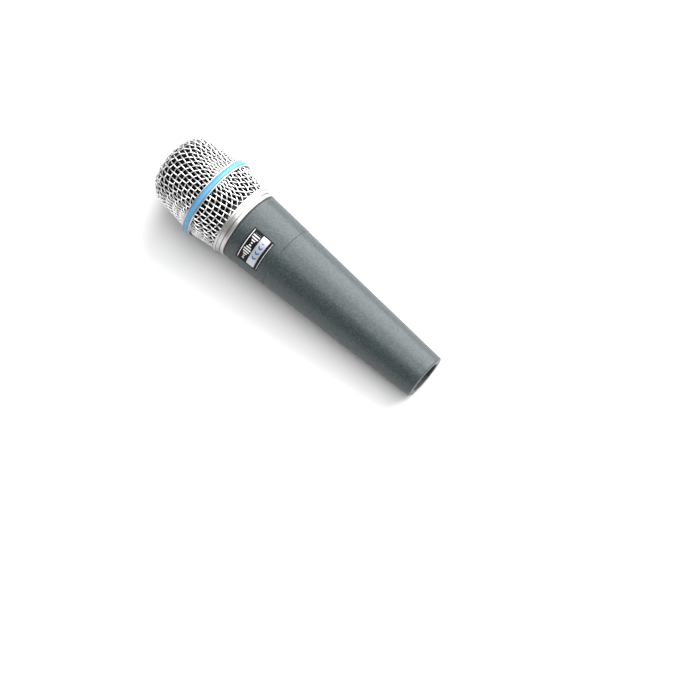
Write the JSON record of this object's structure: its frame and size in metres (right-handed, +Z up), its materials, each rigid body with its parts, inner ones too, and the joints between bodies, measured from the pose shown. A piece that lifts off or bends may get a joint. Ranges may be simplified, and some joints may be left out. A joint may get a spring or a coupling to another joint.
{
  "type": "dynamic microphone",
  "caption": "Handheld dynamic vocal microphone with a domed woven-wire grille, a light blue band, a satin collar and a tapered metal handle.",
  "frame": {"origin": "on the table, under the middle of the microphone's bounding box, with the microphone lying on its band and its tail edge", "axes": "+Z up, the grille points along -X with its nose 4.7 degrees up, the tail and its socket point along +X, and the nameplate faces up and towards -Y"},
  "size_m": [0.1607, 0.044, 0.0439],
  "materials": {
    "handle_enamel": "fine metallic enamel, satin",
    "satin_metal": "satin turned",
    "wire_steel": "bright woven wire",
    "band_enamel": "glossy light blue",
    "carrier_metal": "satin",
    "gasket_rubber": "matt",
    "foam": "open-cell foam, black",
    "badge_print": "printed foil under lacquer",
    "insert_plastic": "moulded",
    "contact_plate": "silver plated",
    "screw_steel": "blackened",
    "tag_metal": "tinned",
    "lamination": "stacked sheet",
    "bobbin_plastic": "moulded",
    "winding_copper": "enamelled wire",
    "boot_rubber": "soft",
    "lead_sleeve": "insulated wire",
    "capsule_alloy": "machined",
    "chamber_plastic": "moulded",
    "yoke_steel": "plated",
    "magnet_metal": "sintered",
    "felt": "felt",
    "screen_cloth": "fine silk screen",
    "board_laminate": "laminate",
    "diaphragm_film": "thin film",
    "mount_rubber": "soft"
  },
  "bodies": {
    "handle": {"rear_handle": "handle_enamel", "front_housing": "handle_enamel", "nameplate": "badge_print", "connector_insert": "insert_plastic", "contact_pin_1": "contact_plate", "contact_pin_2": "contact_plate", "contact_pin_3": "contact_plate", "insert_screw": "screw_steel", "ground_tag": "tag_metal", "transformer_core": "lamination", "transformer_bobbin": "bobbin_plastic", "transformer_winding": "winding_copper", "transformer_boot": "boot_rubber", "output_leads": "lead_sleeve", "mount_ring": "capsule_alloy"},
    "collar_gasket": {"collar_gasket": "gasket_rubber"},
    "grille": {"grille_collar": "satin_metal", "mesh_clamp_ring": "screw_steel", "rear_mesh": "wire_steel", "front_mesh": "wire_steel", "front_foam": "foam", "rear_foam": "foam", "band_carrier": "carrier_metal", "blue_band": "band_enamel"},
    "capsule": {"capsule_can": "capsule_alloy", "rear_chamber": "chamber_plastic", "vent_felt": "felt", "magnet_cup": "yoke_steel", "magnet": "magnet_metal", "pole_piece": "yoke_steel", "resonator_cap": "chamber_plastic", "resonator_screen": "screen_cloth", "hum_coil": "winding_copper", "terminal_board": "board_laminate", "terminal_tags": "tag_metal", "shock_mount": "mount_rubber", "capsule_leads": "lead_sleeve"},
    "diaphragm": {"diaphragm": "diaphragm_film", "voice_coil": "winding_copper", "diaphragm_surround": "diaphragm_film"}
  },
  "joints": [
    {"name": "grille_turn", "type": "hinge", "parent": "handle", "child": "collar_gasket", "pos_m": [-0.02951, 0, 0.02021], "axis": [-0.9967, 0, 0.0812], "range_deg": [0, 1530]},
    {"name": "grille_advance", "type": "slide", "parent": "collar_gasket", "child": "grille", "axis": [-0.9967, 0, 0.0812], "range_m": [0, 0.00425]},
    {"name": "capsule_float", "type": "slide", "parent": "handle", "child": "capsule", "axis": [-0.9967, 0, 0.0812], "range_m": [-0.001, 0.001], "stiffness_N_per_m": 3000, "deforming": ["shock_mount", "capsule_leads"]},
    {"name": "diaphragm_travel", "type": "slide", "parent": "capsule", "child": "diaphragm", "axis": [-0.9967, 0, 0.0812], "range_m": [-0.0004, 0.0004], "stiffness_N_per_m": 400, "deforming": ["diaphragm_surround"]}
  ],
  "couplings": [
    {"joint": "grille_advance", "follows": "grille_turn", "m_per_rad": 0.00015915}
  ]
}
